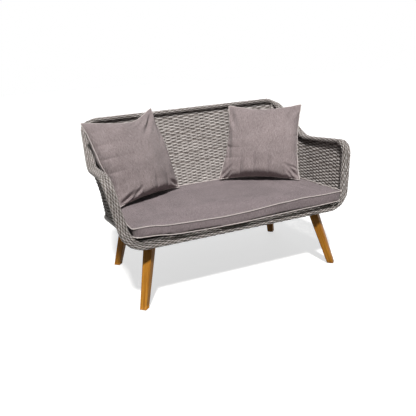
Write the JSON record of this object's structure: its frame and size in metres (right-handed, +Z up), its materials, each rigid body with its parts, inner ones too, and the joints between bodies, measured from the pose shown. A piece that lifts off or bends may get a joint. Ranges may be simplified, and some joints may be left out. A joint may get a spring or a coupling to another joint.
{
  "type": "two-seat garden sofa",
  "caption": "Woven tub garden sofa on a bent tube frame with splayed square wooden legs, a piped seat cushion and piped scatter cushions.",
  "frame": {"origin": "on the floor under the middle of the sofa", "axes": "+X to the right as seen from the front, -Y towards the front, +Z up"},
  "size_m": [1.281, 0.7234, 0.841],
  "materials": {
    "wicker": "warm grey synthetic wicker with a dull sheen",
    "deck_weave": "flat grey synthetic strap, dull",
    "frame": "grey-brown powder coat",
    "wood": "oiled orange-brown hardwood",
    "cushion_fabric": "woven taupe outdoor cloth",
    "piping": "paler piping cord in the same cloth",
    "fastener": "zinc plated",
    "glide": "black moulded plastic"
  },
  "bodies": {
    "root": {"front_rail_wrap": "wicker", "arm_rim_wrap_right": "wicker", "back_rail_wrap": "wicker", "arm_rim_wrap_left": "wicker", "rim_outer_tube_front": "frame", "rim_outer_tube_back": "frame", "rim_inner_tube_front": "frame", "rim_inner_tube_back": "frame", "seat_frame_tube": "frame", "front_seat_tube": "frame", "seat_cross_bar_right": "frame", "seat_cross_bar_left": "frame", "arm_panel_right": "wicker", "arm_panel_left": "wicker", "back_panel": "wicker", "corner_post_right": "frame", "corner_post_left": "frame", "back_stay_right": "frame", "back_stay_left": "frame", "seat_deck": "deck_weave", "leg_rail_right": "frame", "leg_rail_left": "frame", "front_leg_right": "wood", "front_leg_left": "wood", "front_leg_plate_right": "frame", "front_leg_plate_left": "frame", "front_leg_bolt_right": "fastener", "front_leg_bolt_left": "fastener", "front_leg_nut_right": "fastener", "front_leg_nut_left": "fastener", "front_leg_glide_right": "glide", "front_leg_glide_left": "glide", "rear_leg_right": "wood", "rear_leg_left": "wood", "rear_leg_plate_right": "frame", "rear_leg_plate_left": "frame", "rear_leg_bolt_right": "fastener", "rear_leg_bolt_left": "fastener", "rear_leg_nut_right": "fastener", "rear_leg_nut_left": "fastener", "rear_leg_glide_right": "glide", "rear_leg_glide_left": "glide", "seat_cushion": "cushion_fabric", "seat_piping_top": "piping", "seat_piping_bottom": "piping", "scatter_cushion_right": "cushion_fabric", "scatter_piping_right": "piping", "scatter_cushion_left": "cushion_fabric", "scatter_piping_left": "piping"}
  },
  "joints": []
}
